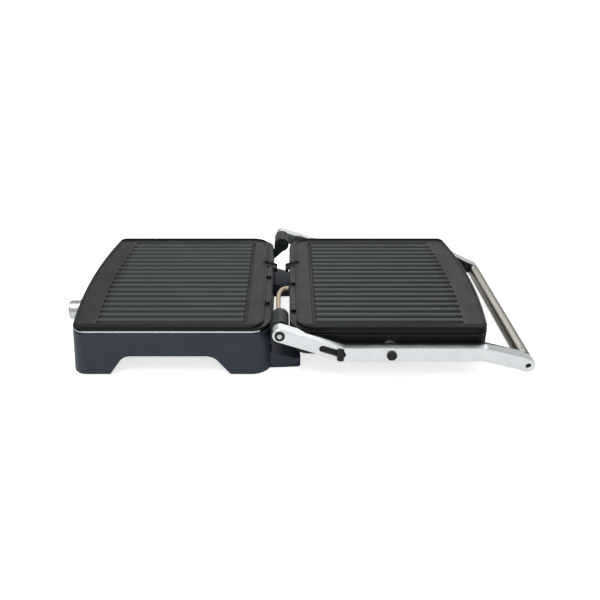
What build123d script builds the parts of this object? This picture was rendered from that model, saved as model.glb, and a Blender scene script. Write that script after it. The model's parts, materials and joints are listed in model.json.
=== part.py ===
from build123d import *
import math
import os

# Folding panini press, shown opened flat to 180 degrees. Millimetres, +Z up.
# The origin is on the standing surface, in the middle of the press's bounding box.
# Distances called "out" are measured from the hinge axis, away from it in either half.

# ---- driving dimensions -------------------------------------------------------------
BASE = -1  # direction of the base from the hinge axis, along Y
LID = 1  # direction of the lid from the hinge axis, along Y
axis_height = 70.0
knob_tip_out = 289.0
arm_end_out = 311.5
arm_height = 18.3
hinge_y = (knob_tip_out - arm_end_out - arm_height / 2) / 2

# ---- housings -----------------------------------------------------------------------
shell_half_width = 144.5
shell_rear_out = 11.5
shell_corner_out = 257.0
foot_corner_out = 262.5
front_bow = 11.2
shell_rear_radius = 25.0
shell_front_radius = 19.0
shell_bottom = 1.5
shell_top = 60.0
shell_wall = 3.0
arch_height = 28.0
arch_foot_outs = (217.0, 62.0)
arch_top_outs = (197.0, 84.0)
arch_radius = 18.0
lid_half_width = 144.0
lid_rear_out = 12.0
lid_bottom = 26.0
lid_edge_radius = 14.0
lid_wall = 2.4

# ---- trim, bezels and plates --------------------------------------------------------
trim_bottom = 61.4
trim_top = 63.6
trim_inset = 1.0
trim_end_out = 24.0
bezel_top = 66.0
bezel_half_width = 141.8
bezel_rear_out = 12.5
bezel_corner_out = 254.4
plate_half_width = 142.5
plate_rear_out = 20.5
plate_corner_out = 255.3
plate_rear_radius = 24.0
plate_front_radius = 9.0
rim_width = 3.0
rim_top = 69.5
plate_level = 67.8
groove_floor = 64.3
pan_bottom = 61.5
pan_inset = 12.0
groove_count = 19
groove_pitch = 13.95
groove_width = 7.4
groove_rear_out = 41.0
groove_front_out = 227.5
groove_bow = 9.0
channel_width = 4.5
spout_x = -50.0
spout_width = 18.0
spout_tip_out = 6.0
spout_lip_out = 10.8
spout_lip_bottom = 57.0
spout_end_out = 26.0

# ---- hinge, arms and handle ---------------------------------------------------------
tower_inner = 113.0
tower_outer = 147.0
tower_radius = 11.0
pin_radius = 4.0
running_clearance = 0.05
hub_inner = 148.5
arm_outer = 165.0
arm_inner = 154.4
arm_end_outer = 150.0
arm_end_inner = 134.0
bar_half_length = 131.0
elbow_out = 78.0
elbow_height = 43.0
bend_out = 251.2
bend_height = 43.0
arm_end_height = 17.8
tilt_out = 136.3
tilt_height = 43.0
cap_proud = 2.5
bar_radius = 9.0
bar_wall = 1.5
slot_start = 51.0
slot_length = 33.0
slot_width = 8.5
slope_angle = math.degrees(math.atan2(elbow_height - axis_height, elbow_out))

# ---- knob and lead ------------------------------------------------------------------
knob_x = 45.0
knob_height = 41.0
knob_radius = 14.0
lead_radius = 3.5
lead_height = 42.0
lead_base_x = 58.0
lead_lid_x = -19.0
bounds_half_width = 170.0


def at(direction, out):
    """Y of a point that lies out from the hinge axis, in the base or in the lid."""
    return hinge_y + direction * out


def half_outline(direction, half_width, rear, corner, rear_radius, front_radius, bow=front_bow):
    """Outline of one half of the press from above: straight sides and rear, bowed front."""
    rear_y = at(direction, rear)
    corner_y = at(direction, corner)
    front_y = at(direction, corner + bow)
    front_group = 0 if direction == BASE else -1
    rear_group = -1 if direction == BASE else 0
    with BuildSketch(Plane.XY, mode=Mode.PRIVATE) as outline:
        with BuildLine():
            Polyline(
                (-half_width, corner_y),
                (-half_width, rear_y),
                (half_width, rear_y),
                (half_width, corner_y),
            )
            ThreePointArc((half_width, corner_y), (0, front_y), (-half_width, corner_y))
        make_face()
        fillet(outline.vertices().group_by(Axis.Y)[rear_group], rear_radius)
        fillet(outline.vertices().group_by(Axis.Y)[front_group], front_radius)
    return outline.sketch


def plate_outline(direction, inset):
    """Outline of a cooking plate, drawn in by inset."""
    return half_outline(
        direction,
        plate_half_width - inset,
        plate_rear_out + inset,
        plate_corner_out - inset,
        max(plate_rear_radius - inset, 4.0),
        max(plate_front_radius - inset, 4.0),
    )


def shell_outline(direction, half_width, rear, inset, corner=shell_corner_out):
    """Outline of a housing, drawn in by inset."""
    return half_outline(
        direction,
        half_width - inset,
        rear + inset,
        corner - inset,
        shell_rear_radius - inset,
        shell_front_radius - inset,
    )


def bezel_outline(direction, inset):
    """Outline of the black frame under a cooking plate, drawn in by inset."""
    return half_outline(
        direction,
        bezel_half_width - inset,
        bezel_rear_out + inset,
        bezel_corner_out - inset,
        max(shell_rear_radius - inset, 4.0),
        max(shell_front_radius - inset, 4.0),
    )


def arch_outline(allowance):
    """Side view of the gap between the base's feet, grown by allowance."""
    foot_front = at(BASE, arch_foot_outs[0] + allowance)
    foot_rear = at(BASE, arch_foot_outs[1] - allowance)
    top_front = at(BASE, arch_top_outs[0] + allowance)
    top_rear = at(BASE, arch_top_outs[1] - allowance)
    with BuildSketch(Plane.XY, mode=Mode.PRIVATE) as outline:
        with BuildLine():
            Polyline(
                (foot_front, 0),
                (top_front, arch_height + allowance),
                (top_rear, arch_height + allowance),
                (foot_rear, 0),
                close=True,
            )
        make_face()
        fillet(outline.vertices().group_by(Axis.Y)[-1], arch_radius)
    return outline.sketch


def flared_corner(height):
    """Distance of the base's front corners from the hinge axis: the front flares at the foot."""
    rise = (height - shell_bottom) / (shell_top - shell_bottom)
    return foot_corner_out + rise * (shell_corner_out - foot_corner_out)


def front_surface(x):
    """Distance of the base's front wall from the hinge axis at x, at the dial's height."""
    return flared_corner(knob_height) + front_bow * (1 - (x / shell_half_width) ** 2)


def bar_profile(points, height):
    """Side view of a bar of constant height along a run of points, with round ends and elbows."""
    with BuildSketch(Plane.XY, mode=Mode.PRIVATE) as profile:
        for first, second in zip(points, points[1:]):
            middle = ((first[0] + second[0]) / 2, (first[1] + second[1]) / 2)
            run = math.dist(first, second)
            turn = math.degrees(math.atan2(second[1] - first[1], second[0] - first[0]))
            with Locations(middle):
                SlotCenterToCenter(run, height, rotation=turn)
    return profile.sketch


def side_plane(x):
    """Plane looking along +X at x: its own x runs along +Y and its own y along +Z."""
    return Plane.YZ.offset(x)


def slope_plane(x, along):
    """Plane at x on the arm's sloped run: its own x runs down the slope, from along."""
    turned = math.radians(slope_angle)
    centre = (x, hinge_y + along * math.cos(turned), axis_height + along * math.sin(turned))
    return Plane(origin=centre, x_dir=(0, math.cos(turned), math.sin(turned)), z_dir=(1, 0, 0))


def write(part, name):
    """Labels a finished piece and writes it."""
    part.label = name
    export_step(part, f"parts/{name}.step")


os.makedirs("parts", exist_ok=True)
halves = {"lower": BASE, "upper": LID}
sides = {"right": 1, "left": -1}
hinge_point = (hinge_y, axis_height)
tilt_point = (at(LID, tilt_out), tilt_height)
handle_point = (at(LID, arm_end_out), arm_end_height)

# ---- base housing -------------------------------------------------------------------
foot_radius = 9.0
foot_recess = 1.0
foot_x = 118.0
foot_outs = (236.0, 42.0)
cover_half_width = 100.0
cover_outs = (184.0, 97.0)
cover_centre = at(BASE, sum(cover_outs) / 2)
cover_depth = cover_outs[0] - cover_outs[1]
fit_gap = 0.3
dial_radius = 17.0
lamp_radius = 2.5
lamp_xs = {"power_lamp": -8.0, "ready_lamp": 8.0}
gland_x = -70.0
gland_height = 36.0
gland_radius = 8.0
grommet_radius = 6.0

with BuildPart() as base_cavity:
    for level in (shell_bottom + shell_wall, shell_top + shell_wall):
        with BuildSketch(Plane.XY.offset(level)):
            corner = flared_corner(level)
            add(shell_outline(BASE, shell_half_width, shell_rear_out, shell_wall, corner))
    loft(ruled=True)
    with BuildSketch(Plane.YZ):
        add(arch_outline(shell_wall))
    extrude(amount=bounds_half_width, both=True, mode=Mode.SUBTRACT)

with BuildPart() as base_shell:
    for level in (shell_bottom, shell_top):
        with BuildSketch(Plane.XY.offset(level)):
            corner = flared_corner(level)
            add(shell_outline(BASE, shell_half_width, shell_rear_out, 0, corner))
    loft(ruled=True)
    with BuildSketch(Plane.YZ):
        add(arch_outline(0))
    extrude(amount=bounds_half_width, both=True, mode=Mode.SUBTRACT)
    add(base_cavity.part, mode=Mode.SUBTRACT)
    with BuildSketch(Plane.XY):
        with Locations((0, cover_centre)):
            RectangleRounded(2 * cover_half_width, cover_depth, 6)
    extrude(amount=shell_top, mode=Mode.SUBTRACT)
    with BuildSketch(Plane.XY.offset(shell_bottom)):
        for out in foot_outs:
            with Locations((-foot_x, at(BASE, out)), (foot_x, at(BASE, out))):
                Circle(foot_radius)
    extrude(amount=foot_recess, mode=Mode.SUBTRACT)
    with BuildSketch(Plane.XZ.offset(-at(BASE, shell_corner_out - shell_wall))):
        with Locations((knob_x, knob_height)):
            Circle(dial_radius + 0.1)
        with Locations(*[(x, knob_height) for x in lamp_xs.values()]):
            Circle(lamp_radius + 0.1)
    extrude(amount=2 * front_bow, mode=Mode.SUBTRACT)
    with BuildSketch(Plane.XZ.offset(-hinge_y)):
        with Locations((gland_x, gland_height)):
            Circle(gland_radius)
        with Locations((lead_base_x, lead_height)):
            Circle(grommet_radius)
    extrude(amount=shell_rear_out + 2 * shell_wall, mode=Mode.SUBTRACT)
write(base_shell.part, "base_shell")

cover_screw_radius = 2.5
cover_lip = 4.0
cover_screws = [
    (x, at(BASE, out)) for x in (-90.0, 90.0) for out in (cover_outs[0] - 10, cover_outs[1] + 10)
]
with BuildPart() as bottom_cover:
    with BuildSketch(Plane.XY.offset(arch_height)):
        with Locations((0, cover_centre)):
            RectangleRounded(2 * (cover_half_width - fit_gap), cover_depth - 2 * fit_gap, 5.7)
    extrude(amount=shell_wall)
    with BuildSketch(Plane.XY.offset(arch_height + shell_wall)):
        with Locations((0, cover_centre)):
            RectangleRounded(2 * (cover_half_width + cover_lip), cover_depth + 2 * cover_lip, 8)
    extrude(amount=shell_wall)
    with BuildSketch(Plane.XY.offset(arch_height)):
        with Locations(*cover_screws):
            Circle(cover_screw_radius)
    extrude(amount=2 * shell_wall, mode=Mode.SUBTRACT)
write(bottom_cover.part, "base_bottom_cover")

with BuildPart() as cover_screw_group:
    with BuildSketch(Plane.XY.offset(arch_height - 1.5)):
        with Locations(*cover_screws):
            Circle(4.5)
    extrude(amount=1.5)
    with BuildSketch(Plane.XY.offset(arch_height)):
        with Locations(*cover_screws):
            Circle(cover_screw_radius)
    extrude(amount=2 * shell_wall)
write(cover_screw_group.part, "base_cover_screws")

# ---- anti-tip legs at the rear of the base ------------------------------------------
leg_xs = (68.0, 130.0)
leg_root_out = 17.5
leg_end_out = 26.0
leg_heights = (25.6, 14.0)
leg_taper = 3.0
leg_pad_out = 16.0
for side, sign in sides.items():
    with BuildPart() as leg:
        with BuildSketch(side_plane(sign * leg_xs[0])):
            with BuildLine():
                Polyline(
                    (at(BASE, leg_root_out), shell_bottom),
                    (at(LID, leg_end_out), shell_bottom),
                    (at(LID, leg_end_out), leg_heights[1]),
                    (at(BASE, leg_root_out), leg_heights[0]),
                    close=True,
                )
            make_face()
        extrude(amount=sign * (leg_xs[1] - leg_xs[0]))
        with BuildSketch(Plane.XY):
            with BuildLine():
                Polyline(
                    (sign * leg_xs[0], at(BASE, leg_root_out)),
                    (sign * leg_xs[1], at(BASE, leg_root_out)),
                    (sign * (leg_xs[1] - leg_taper), at(LID, leg_end_out)),
                    (sign * (leg_xs[0] + leg_taper), at(LID, leg_end_out)),
                    close=True,
                )
            make_face()
        extrude(amount=leg_heights[0], mode=Mode.INTERSECT)
        fillet(leg.edges().filter_by(Axis.Z).group_by(Axis.Y)[-1], 4)
        with BuildSketch(Plane.XY):
            add(shell_outline(BASE, shell_half_width, shell_rear_out, 0))
        extrude(amount=shell_top, mode=Mode.SUBTRACT)
        with BuildSketch(Plane.XY.offset(shell_bottom)):
            with Locations((sign * sum(leg_xs) / 2, at(LID, leg_pad_out))):
                Circle(foot_radius - 1)
        extrude(amount=foot_recess, mode=Mode.SUBTRACT)
    write(leg.part, f"rear_leg_{side}")

with BuildPart() as feet:
    with BuildSketch(Plane.XY):
        for sign in sides.values():
            for out in foot_outs:
                with Locations((sign * foot_x, at(BASE, out))):
                    Circle(foot_radius)
            with Locations((sign * sum(leg_xs) / 2, at(LID, leg_pad_out))):
                Circle(foot_radius - 1)
    extrude(amount=shell_bottom + foot_recess)
write(feet.part, "rubber_feet")

# ---- lid housing --------------------------------------------------------------------
boss_radius = 9.0
port_height = 24.0
port_middle = 47.5
panel_thickness = 0.8
with BuildPart() as lid_shell:
    with BuildSketch(Plane.XY.offset(lid_bottom)):
        add(shell_outline(LID, lid_half_width, lid_rear_out, 0))
    extrude(amount=shell_top - lid_bottom)
    fillet(lid_shell.faces().sort_by(Axis.Z)[0].edges(), lid_edge_radius)
    with BuildSketch(Plane.XY.offset(lid_bottom + lid_wall)):
        add(shell_outline(LID, lid_half_width, lid_rear_out, lid_edge_radius * 0.55))
    extrude(amount=shell_top, mode=Mode.SUBTRACT)
    with BuildSketch(Plane.XY.offset(lid_bottom + lid_edge_radius)):
        add(shell_outline(LID, lid_half_width, lid_rear_out, lid_wall))
    extrude(amount=shell_top, mode=Mode.SUBTRACT)
    with BuildSketch(Plane.YZ):
        with Locations(tilt_point):
            Circle(boss_radius)
    extrude(amount=bounds_half_width, both=True, mode=Mode.SUBTRACT)
    with BuildSketch(Plane.XZ.offset(-at(LID, lid_rear_out + lid_wall + 1))):
        with Locations((lead_lid_x, port_middle)):
            SlotOverall(port_height, 2 * (lead_radius + 3), rotation=90)
    extrude(amount=lid_rear_out, mode=Mode.SUBTRACT)
write(lid_shell.part, "lid_shell")

with BuildPart() as port_ring:
    with BuildSketch(Plane.XZ.offset(-at(LID, lid_rear_out + lid_wall))):
        with Locations((lead_lid_x, port_middle)):
            SlotOverall(port_height, 2 * (lead_radius + 3), rotation=90)
            SlotOverall(port_height - 2, 2 * (lead_radius + 2), rotation=90, mode=Mode.SUBTRACT)
    extrude(amount=lid_wall + 1)
write(port_ring.part, "lid_lead_grommet")

with BuildPart() as panel:
    with BuildSketch(Plane.XY.offset(lid_bottom - panel_thickness)):
        with Locations((0, at(LID, 136))):
            RectangleRounded(236, 196, 12)
    extrude(amount=panel_thickness)
write(panel.part, "lid_top_panel")

with BuildPart() as bosses:
    for sign in sides.values():
        with BuildSketch(side_plane(sign * 133)):
            with Locations(tilt_point):
                Circle(boss_radius)
                Circle(pin_radius + running_clearance, mode=Mode.SUBTRACT)
        extrude(amount=sign * 14)
write(bosses.part, "lid_pivot_bosses")

# ---- trim rings, bezels, plates, heaters, one set in each half -----------------------
element_radius = 3.3
element_height = pan_bottom - element_radius
element_run = 90.0
element_outs = (60.0, 222.0)
shield_height = 50.0
shield_thickness = 1.5
catch_width = 10.0
catch_xs = {"lower": (71.0, -8.0), "upper": (13.5, 92.0)}
for half, direction in halves.items():
    rear = shell_rear_out if direction == BASE else lid_rear_out
    half_width = shell_half_width if direction == BASE else lid_half_width
    with BuildPart() as trim_ring:
        with BuildSketch(Plane.XY.offset(trim_bottom)):
            add(shell_outline(direction, half_width, rear, trim_inset))
            add(bezel_outline(direction, 0), mode=Mode.SUBTRACT)
            with Locations((0, hinge_y)):
                Rectangle(2 * bounds_half_width, 2 * trim_end_out, mode=Mode.SUBTRACT)
        extrude(amount=trim_top - trim_bottom)
    write(trim_ring.part, f"{half}_trim_ring")

    with BuildPart() as bezel:
        with BuildSketch(Plane.XY.offset(shell_top)):
            add(bezel_outline(direction, 0))
            add(plate_outline(direction, pan_inset - 0.5), mode=Mode.SUBTRACT)
        extrude(amount=bezel_top - shell_top)
        with BuildSketch(Plane.XY.offset(trim_bottom)):
            with Locations((spout_x, at(direction, spout_tip_out))):
                Rectangle(spout_width + 1, 2 * (plate_rear_out + pan_inset))
        extrude(amount=shell_top, mode=Mode.SUBTRACT)
    write(bezel.part, f"{half}_bezel")

    with BuildPart() as plate:
        with BuildSketch(Plane.XY.offset(bezel_top)):
            add(plate_outline(direction, 0))
        extrude(amount=rim_top - bezel_top)
        with BuildSketch(Plane.XY.offset(pan_bottom)):
            add(plate_outline(direction, pan_inset))
        extrude(amount=bezel_top - pan_bottom)
        with BuildSketch(Plane.XY.offset(plate_level)):
            add(plate_outline(direction, rim_width))
        extrude(amount=rim_top, mode=Mode.SUBTRACT)
        with BuildSketch(Plane.XY.offset(groove_floor)):
            for index in range(groove_count):
                x = (index - (groove_count - 1) / 2) * groove_pitch
                front = groove_front_out + groove_bow * (1 - (x / plate_half_width) ** 2)
                with Locations((x, at(direction, (front + groove_rear_out) / 2))):
                    SlotOverall(front - groove_rear_out, groove_width, rotation=90)
            with Locations((0, at(direction, groove_rear_out + channel_width / 2))):
                channel_length = (groove_count - 1) * groove_pitch + groove_width
                RectangleRounded(channel_length, channel_width, 2)
        extrude(amount=rim_top, mode=Mode.SUBTRACT)
        with BuildSketch(side_plane(spout_x - spout_width / 2)):
            with BuildLine():
                Polyline(
                    (at(direction, spout_tip_out), spout_lip_bottom),
                    (at(direction, spout_lip_out), spout_lip_bottom),
                    (at(direction, spout_lip_out), pan_bottom),
                    (at(direction, plate_rear_out + pan_inset + 1), pan_bottom),
                    (at(direction, plate_rear_out + pan_inset + 1), bezel_top),
                    (at(direction, plate_rear_out), plate_level),
                    (at(direction, spout_tip_out), bezel_top - 3),
                    close=True,
                )
            make_face()
        extrude(amount=spout_width)
        with BuildSketch(side_plane(spout_x - spout_width / 2 + 2.5)):
            with BuildLine():
                Polyline(
                    (at(direction, 0), bezel_top - 6.5),
                    (at(direction, spout_end_out), plate_level - 1.5),
                    (at(direction, spout_end_out), rim_top + 1),
                    (at(direction, 0), rim_top + 1),
                    close=True,
                )
            make_face()
        extrude(amount=spout_width - 5, mode=Mode.SUBTRACT)
    write(plate.part, f"{half}_plate")

    with BuildPart() as element:
        with BuildLine() as route:
            FilletPolyline(
                (-element_run, at(direction, element_outs[0]), element_height),
                (-element_run, at(direction, element_outs[1]), element_height),
                (element_run, at(direction, element_outs[1]), element_height),
                (element_run, at(direction, element_outs[0]), element_height),
                radius=40,
            )
        with BuildSketch(Plane(route.line @ 0, z_dir=route.line % 0)):
            Circle(element_radius)
        sweep()
    write(element.part, f"{half}_heating_element")

    with BuildPart() as shield:
        with BuildSketch(Plane.XY.offset(shield_height)):
            add(plate_outline(direction, pan_inset + 6))
        extrude(amount=shield_thickness)
    write(shield.part, f"{half}_heat_shield")

    with BuildPart() as catches:
        with BuildSketch(Plane.XY.offset(bezel_top)):
            for x in catch_xs[half]:
                with Locations((x, at(direction, plate_rear_out - 3.5))):
                    RectangleRounded(catch_width, 6.6, 1)
        extrude(amount=rim_top - bezel_top)
    write(catches.part, f"{half}_plate_catches")

# ---- controls -----------------------------------------------------------------------
shaft_radius = 3.0
dial_front_out = 270.4
thermostat_outs = (232.0, 254.0)
with BuildPart() as dial_ring:
    with BuildSketch(Plane.XZ.offset(-at(BASE, thermostat_outs[1] + 4))):
        with Locations((knob_x, knob_height)):
            Circle(dial_radius)
            Circle(shaft_radius + running_clearance, mode=Mode.SUBTRACT)
    extrude(amount=dial_front_out - thermostat_outs[1] - 4)
write(dial_ring.part, "dial_ring")

with BuildPart() as thermostat:
    with BuildSketch(Plane.XY.offset(knob_height - 9)):
        with Locations((knob_x, at(BASE, sum(thermostat_outs) / 2))):
            Rectangle(32, thermostat_outs[1] - thermostat_outs[0])
    extrude(amount=17)
    chamfer(thermostat.edges().filter_by(Axis.Z), 2)
write(thermostat.part, "thermostat")

knob_rear_out = 271.2
with BuildPart() as knob:
    with BuildSketch(Plane.XZ.offset(-at(BASE, knob_rear_out))):
        with Locations((knob_x, knob_height)):
            Circle(knob_radius)
    extrude(amount=knob_tip_out - knob_rear_out)
    fillet(knob.faces().sort_by(Axis.Y)[0].edges(), 2)
    with BuildSketch(Plane.XZ.offset(-at(BASE, knob_rear_out))):
        with Locations((knob_x, knob_height)):
            Circle(shaft_radius)
    extrude(amount=12, mode=Mode.SUBTRACT)
write(knob.part, "control_knob")

with BuildPart() as shaft:
    with BuildSketch(Plane.XZ.offset(-at(BASE, thermostat_outs[1] + 0.3))):
        with Locations((knob_x, knob_height)):
            Circle(shaft_radius)
    extrude(amount=knob_rear_out + 12 - thermostat_outs[1] - 0.3)
write(shaft.part, "thermostat_shaft")

for name, x in lamp_xs.items():
    with BuildPart() as lamp:
        with BuildSketch(Plane.XZ.offset(-at(BASE, foot_corner_out))):
            with Locations((x, knob_height)):
                Circle(lamp_radius)
        extrude(amount=front_surface(x) + 1 - foot_corner_out)
        fillet(lamp.faces().sort_by(Axis.Y)[0].edges(), 0.8)
    write(lamp.part, name)

with BuildPart() as terminals:
    with BuildSketch(Plane.XY.offset(shell_bottom + shell_wall)):
        with Locations((-40, at(BASE, 40))):
            Rectangle(36, 18)
    extrude(amount=26)
    with BuildSketch(Plane.XY.offset(shell_bottom + shell_wall + 26)):
        with Locations((-40, at(BASE, 40))):
            with GridLocations(9, 1, 4, 1):
                Circle(2.5)
    extrude(amount=-4, mode=Mode.SUBTRACT)
write(terminals.part, "terminal_block")

with BuildPart() as gland:
    with BuildSketch(Plane.XZ.offset(-at(BASE, shell_rear_out + shell_wall))):
        with Locations((gland_x, gland_height)):
            Circle(gland_radius)
    extrude(amount=shell_wall + 5)
    fillet(gland.faces().sort_by(Axis.Y)[-1].edges(), 1.5)
    with BuildSketch(Plane.XZ.offset(-at(BASE, shell_rear_out + shell_wall))):
        with Locations((gland_x, gland_height)):
            Circle(3.6)
    extrude(amount=shell_wall + 5, mode=Mode.SUBTRACT)
write(gland.part, "cord_gland")

# ---- lead between the halves --------------------------------------------------------
lead_ends = (8.5, 14.0)
lead_bend = 9.0
with BuildPart() as base_grommet:
    with BuildSketch(Plane.XZ.offset(-at(BASE, shell_rear_out + shell_wall))):
        with Locations((lead_base_x, lead_height)):
            Circle(grommet_radius)
    extrude(amount=shell_rear_out + shell_wall - lead_ends[0])
write(base_grommet.part, "base_lead_grommet")

with BuildPart() as lead:
    with BuildLine() as route:
        FilletPolyline(
            (lead_base_x, at(BASE, lead_ends[0]), lead_height),
            (lead_base_x, at(LID, 1.0), lead_height),
            (lead_lid_x, at(LID, 1.0), lead_height),
            (lead_lid_x, at(LID, lead_ends[1]), lead_height),
            radius=lead_bend,
        )
    with BuildSketch(Plane(route.line @ 0, z_dir=route.line % 0)):
        Circle(lead_radius)
    sweep()
write(lead.part, "hinge_lead")

# ---- hinge towers, pins, washers, screws --------------------------------------------
washer_gap = 0.3
washer_radius = 8.0
head_radius = 5.5
head_proud = 1.3
for side, sign in sides.items():
    with BuildPart() as tower:
        with BuildSketch(side_plane(sign * tower_inner)):
            with Locations(hinge_point):
                Circle(tower_radius)
            with BuildLine():
                Polyline(
                    (at(BASE, shell_rear_out), 46),
                    (at(BASE, shell_rear_out), 68),
                    (at(BASE, 8), 75),
                    (at(LID, 6), 62.8),
                    close=True,
                )
            make_face()
            with Locations(hinge_point):
                Circle(pin_radius, mode=Mode.SUBTRACT)
        extrude(amount=sign * (tower_outer - tower_inner))
    write(tower.part, f"hinge_tower_{side}")

    with BuildPart() as pin:
        with BuildSketch(side_plane(sign * (tower_inner + 2))):
            with Locations(hinge_point):
                Circle(pin_radius)
        extrude(amount=sign * (arm_outer + 0.1 - tower_inner - 2))
    write(pin.part, f"hinge_pin_{side}")

with BuildPart() as washers:
    for sign in sides.values():
        with BuildSketch(side_plane(sign * tower_outer)):
            with Locations(hinge_point):
                Circle(washer_radius)
                Circle(pin_radius, mode=Mode.SUBTRACT)
        extrude(amount=sign * (hub_inner - washer_gap - tower_outer))
write(washers.part, "hinge_washers")

with BuildPart() as pin_heads:
    for sign in sides.values():
        with BuildSketch(side_plane(sign * (arm_outer + 0.1))):
            with Locations(hinge_point):
                Circle(head_radius)
        extrude(amount=sign * head_proud)
        with BuildSketch(side_plane(sign * (arm_outer + 0.1 + head_proud))):
            with Locations(hinge_point):
                RegularPolygon(2.6, 6)
        extrude(amount=-sign * (head_proud - 0.3), mode=Mode.SUBTRACT)
write(pin_heads.part, "hinge_pin_heads")

# ---- arms ---------------------------------------------------------------------------
liner_inner = 147.6
liner_height = 15.0
arm_points = [
    hinge_point,
    (at(LID, elbow_out), elbow_height),
    (at(LID, bend_out), bend_height),
    handle_point,
]
liner_share = 0.55
liner_start = (
    hinge_y + liner_share * elbow_out,
    axis_height + liner_share * (elbow_height - axis_height),
)
liner_points = [
    liner_start,
    (at(LID, elbow_out), elbow_height),
    (at(LID, bend_out), bend_height),
    handle_point,
]
end_screw_radius = 2.5
end_head_radius = 3.2
for side, sign in sides.items():
    with BuildPart() as arm:
        with BuildSketch(side_plane(sign * arm_end_inner)):
            add(bar_profile(arm_points, arm_height))
        extrude(amount=sign * (arm_outer - arm_end_inner))
        with BuildSketch(Plane.XY):
            with BuildLine():
                Polyline(
                    (sign * arm_outer, at(BASE, 12)),
                    (sign * arm_outer, at(LID, bend_out)),
                    (sign * arm_end_outer, at(LID, 302)),
                    (sign * arm_end_outer, at(LID, 330)),
                    (sign * arm_end_inner, at(LID, 330)),
                    (sign * arm_end_inner, at(LID, 300)),
                    (sign * arm_inner, at(LID, bend_out - 5)),
                    (sign * arm_inner, at(LID, 32)),
                    (sign * hub_inner, at(LID, 22)),
                    (sign * hub_inner, at(BASE, 12)),
                    close=True,
                )
            make_face()
        extrude(amount=2 * axis_height, mode=Mode.INTERSECT)
        with BuildSketch(Plane.YZ):
            with Locations(hinge_point):
                Circle(pin_radius + running_clearance)
            with Locations(tilt_point):
                Circle(pin_radius)
            with Locations(handle_point):
                Circle(end_head_radius)
        extrude(amount=sign * bounds_half_width, mode=Mode.SUBTRACT)
        if side == "right":
            with BuildSketch(slope_plane(arm_outer, slot_start + slot_length / 2)):
                SlotOverall(slot_length, slot_width)
            extrude(amount=-9, mode=Mode.SUBTRACT)
    write(arm.part, f"arm_{side}")

    with BuildPart() as liner:
        with BuildSketch(side_plane(sign * bar_half_length)):
            add(bar_profile(liner_points, liner_height))
            with Locations(tilt_point):
                Circle(pin_radius, mode=Mode.SUBTRACT)
            with Locations(handle_point):
                Circle(end_screw_radius, mode=Mode.SUBTRACT)
        extrude(amount=sign * (arm_inner - bar_half_length))
        with BuildSketch(Plane.XY):
            with BuildLine():
                Polyline(
                    (sign * arm_inner, at(LID, 32)),
                    (sign * arm_inner, at(LID, bend_out - 5)),
                    (sign * arm_end_inner, at(LID, 300)),
                    (sign * arm_end_inner, at(LID, 330)),
                    (sign * bar_half_length, at(LID, 330)),
                    (sign * bar_half_length, at(LID, 299.5)),
                    (sign * liner_inner, at(LID, bend_out - 8)),
                    (sign * liner_inner, at(LID, 32)),
                    close=True,
                )
            make_face()
        extrude(amount=2 * axis_height, mode=Mode.INTERSECT)
    write(liner.part, f"arm_liner_{side}")

    with BuildPart() as tilt_pin:
        with BuildSketch(side_plane(sign * 134.5)):
            with Locations(tilt_point):
                Circle(pin_radius)
        extrude(amount=sign * (arm_outer - 134.5))
        with BuildSketch(side_plane(sign * arm_outer)):
            with Locations(tilt_point):
                Circle(6.15)
        extrude(amount=sign * cap_proud)
    write(tilt_pin.part, f"tilt_pin_{side}")

# ---- release slider -----------------------------------------------------------------
slider_along = slot_start + slot_length - slot_width / 2 - 1.5
with BuildPart() as slot_insert:
    with BuildSketch(slope_plane(arm_outer - 9, slot_start + slot_length / 2)):
        SlotOverall(slot_length - 0.1, slot_width - 0.1)
    extrude(amount=4.5)
write(slot_insert.part, "slot_insert")

with BuildPart() as slider:
    with BuildSketch(slope_plane(arm_outer - 4, slider_along)):
        RectangleRounded(7, slot_width - 1.2, 3.4)
    extrude(amount=4.3)
    with BuildSketch(slope_plane(arm_outer + 0.3, slider_along)):
        RectangleRounded(8.3, 17.6, 2.5, rotation=-slope_angle)
    extrude(amount=cap_proud - 0.3)
write(slider.part, "release_slider")

# ---- handle bar ---------------------------------------------------------------------
grub_x = 121.0
grub_radius = 2.2
plug_length = 22.0
with BuildPart() as bar:
    with BuildSketch(Plane.YZ):
        with Locations(handle_point):
            Circle(bar_radius)
            Circle(bar_radius - bar_wall, mode=Mode.SUBTRACT)
    extrude(amount=bar_half_length, both=True)
    with BuildSketch(Plane.XY.offset(arm_end_height)):
        with Locations((-grub_x, handle_point[0]), (grub_x, handle_point[0])):
            Circle(grub_radius)
    extrude(amount=2 * bar_radius, mode=Mode.SUBTRACT)
write(bar.part, "handle_bar")

with BuildPart() as plugs:
    for sign in sides.values():
        with BuildSketch(side_plane(sign * (bar_half_length - plug_length))):
            with Locations(handle_point):
                Circle(bar_radius - bar_wall)
                Circle(end_screw_radius, mode=Mode.SUBTRACT)
        extrude(amount=sign * plug_length)
    with BuildSketch(Plane.XY.offset(arm_end_height + 4)):
        with Locations((-grub_x, handle_point[0]), (grub_x, handle_point[0])):
            Circle(grub_radius)
    extrude(amount=bar_radius, mode=Mode.SUBTRACT)
write(plugs.part, "handle_bar_plugs")

with BuildPart() as end_screws:
    for sign in sides.values():
        with BuildSketch(side_plane(sign * (arm_end_inner - 16))):
            with Locations(handle_point):
                Circle(end_screw_radius)
        extrude(amount=sign * 16)
        with BuildSketch(side_plane(sign * arm_end_inner)):
            with Locations(handle_point):
                Circle(end_head_radius)
        extrude(amount=sign * 14)
write(end_screws.part, "handle_end_screws")

with BuildPart() as grub_screws:
    with BuildSketch(Plane.XY.offset(arm_end_height + 4)):
        with Locations((-grub_x, handle_point[0]), (grub_x, handle_point[0])):
            Circle(grub_radius)
    extrude(amount=bar_radius - 4 + 0.2)
write(grub_screws.part, "handle_grub_screws")
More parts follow.
